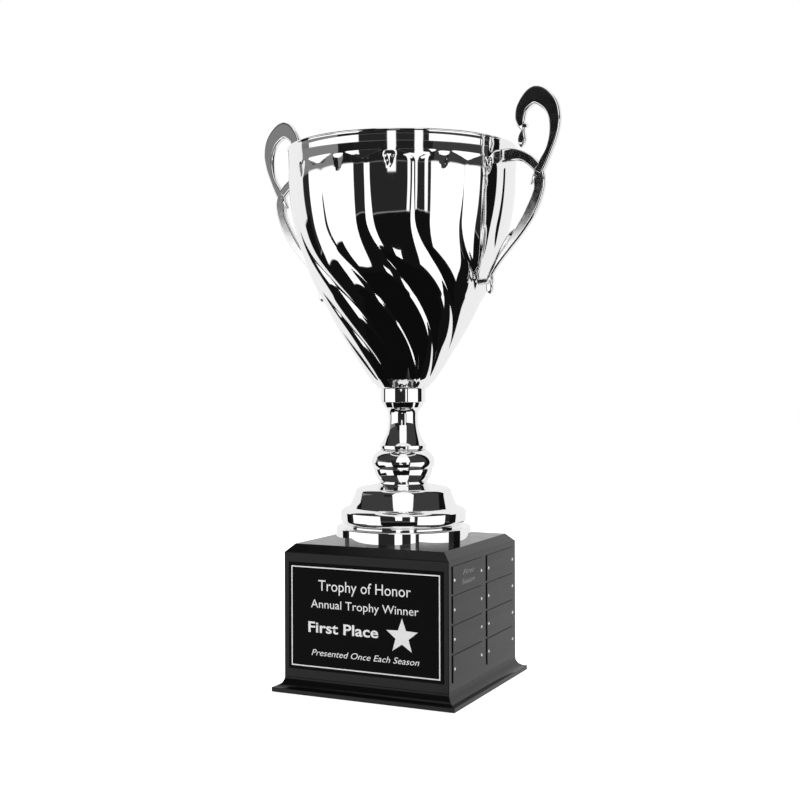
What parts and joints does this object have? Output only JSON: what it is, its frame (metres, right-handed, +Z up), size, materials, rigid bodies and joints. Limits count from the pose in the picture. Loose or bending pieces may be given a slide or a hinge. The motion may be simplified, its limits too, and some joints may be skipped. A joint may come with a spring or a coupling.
{
  "type": "cup trophy",
  "caption": "Perpetual trophy: fluted metal cup with scroll handles on a turned stem and stepped foot, bolted to a square black wooden plinth with name plates.",
  "frame": {"origin": "middle of the underside of the felt pad", "axes": "+Z up the stem to the cup's mouth, -Y towards the front plate, +X to the right-hand side seen from the front"},
  "size_m": [0.3056, 0.202, 0.508],
  "materials": {
    "plated_metal": "bright nickel-chrome plate on spun and turned metal, mirror polished",
    "cast_metal": "bright plated zinc casting, polished, softer than the spun parts",
    "lacquered_wood": "high-gloss black lacquer",
    "black_plate": "black coated engraving plate with bright cut lines",
    "plate_nails": "small bright escutcheon nails",
    "steel_fixings": "zinc plated steel",
    "felt": "black felt"
  },
  "bodies": {
    "root": {"base_felt_pad": "felt", "base_foot_board": "lacquered_wood", "base_front_panel": "lacquered_wood", "base_back_panel": "lacquered_wood", "base_left_panel": "lacquered_wood", "base_right_panel": "lacquered_wood", "base_top_board": "lacquered_wood", "front_plate": "black_plate", "cup_foot": "plated_metal", "lower_knop": "plated_metal", "upper_knop": "plated_metal", "stem_bell": "plated_metal", "collar_ring": "plated_metal", "bowl": "plated_metal", "handle_right": "cast_metal", "handle_left": "cast_metal", "handle_right_screws": "steel_fixings", "handle_left_screws": "steel_fixings", "right_plate_nails": "plate_nails", "left_plate_nails": "plate_nails", "tie_rod": "steel_fixings", "bowl_washer": "steel_fixings", "bowl_nut": "steel_fixings", "base_washer": "steel_fixings", "base_nut": "steel_fixings", "right_winner_plate_1": "black_plate", "right_winner_plate_2": "black_plate", "right_winner_plate_3": "black_plate", "right_winner_plate_4": "black_plate", "right_winner_plate_5": "black_plate", "right_winner_plate_6": "black_plate", "right_winner_plate_7": "black_plate", "right_winner_plate_8": "black_plate", "left_winner_plate_1": "black_plate", "left_winner_plate_2": "black_plate", "left_winner_plate_3": "black_plate", "left_winner_plate_4": "black_plate", "left_winner_plate_5": "black_plate", "left_winner_plate_6": "black_plate", "left_winner_plate_7": "black_plate", "left_winner_plate_8": "black_plate"}
  },
  "joints": []
}
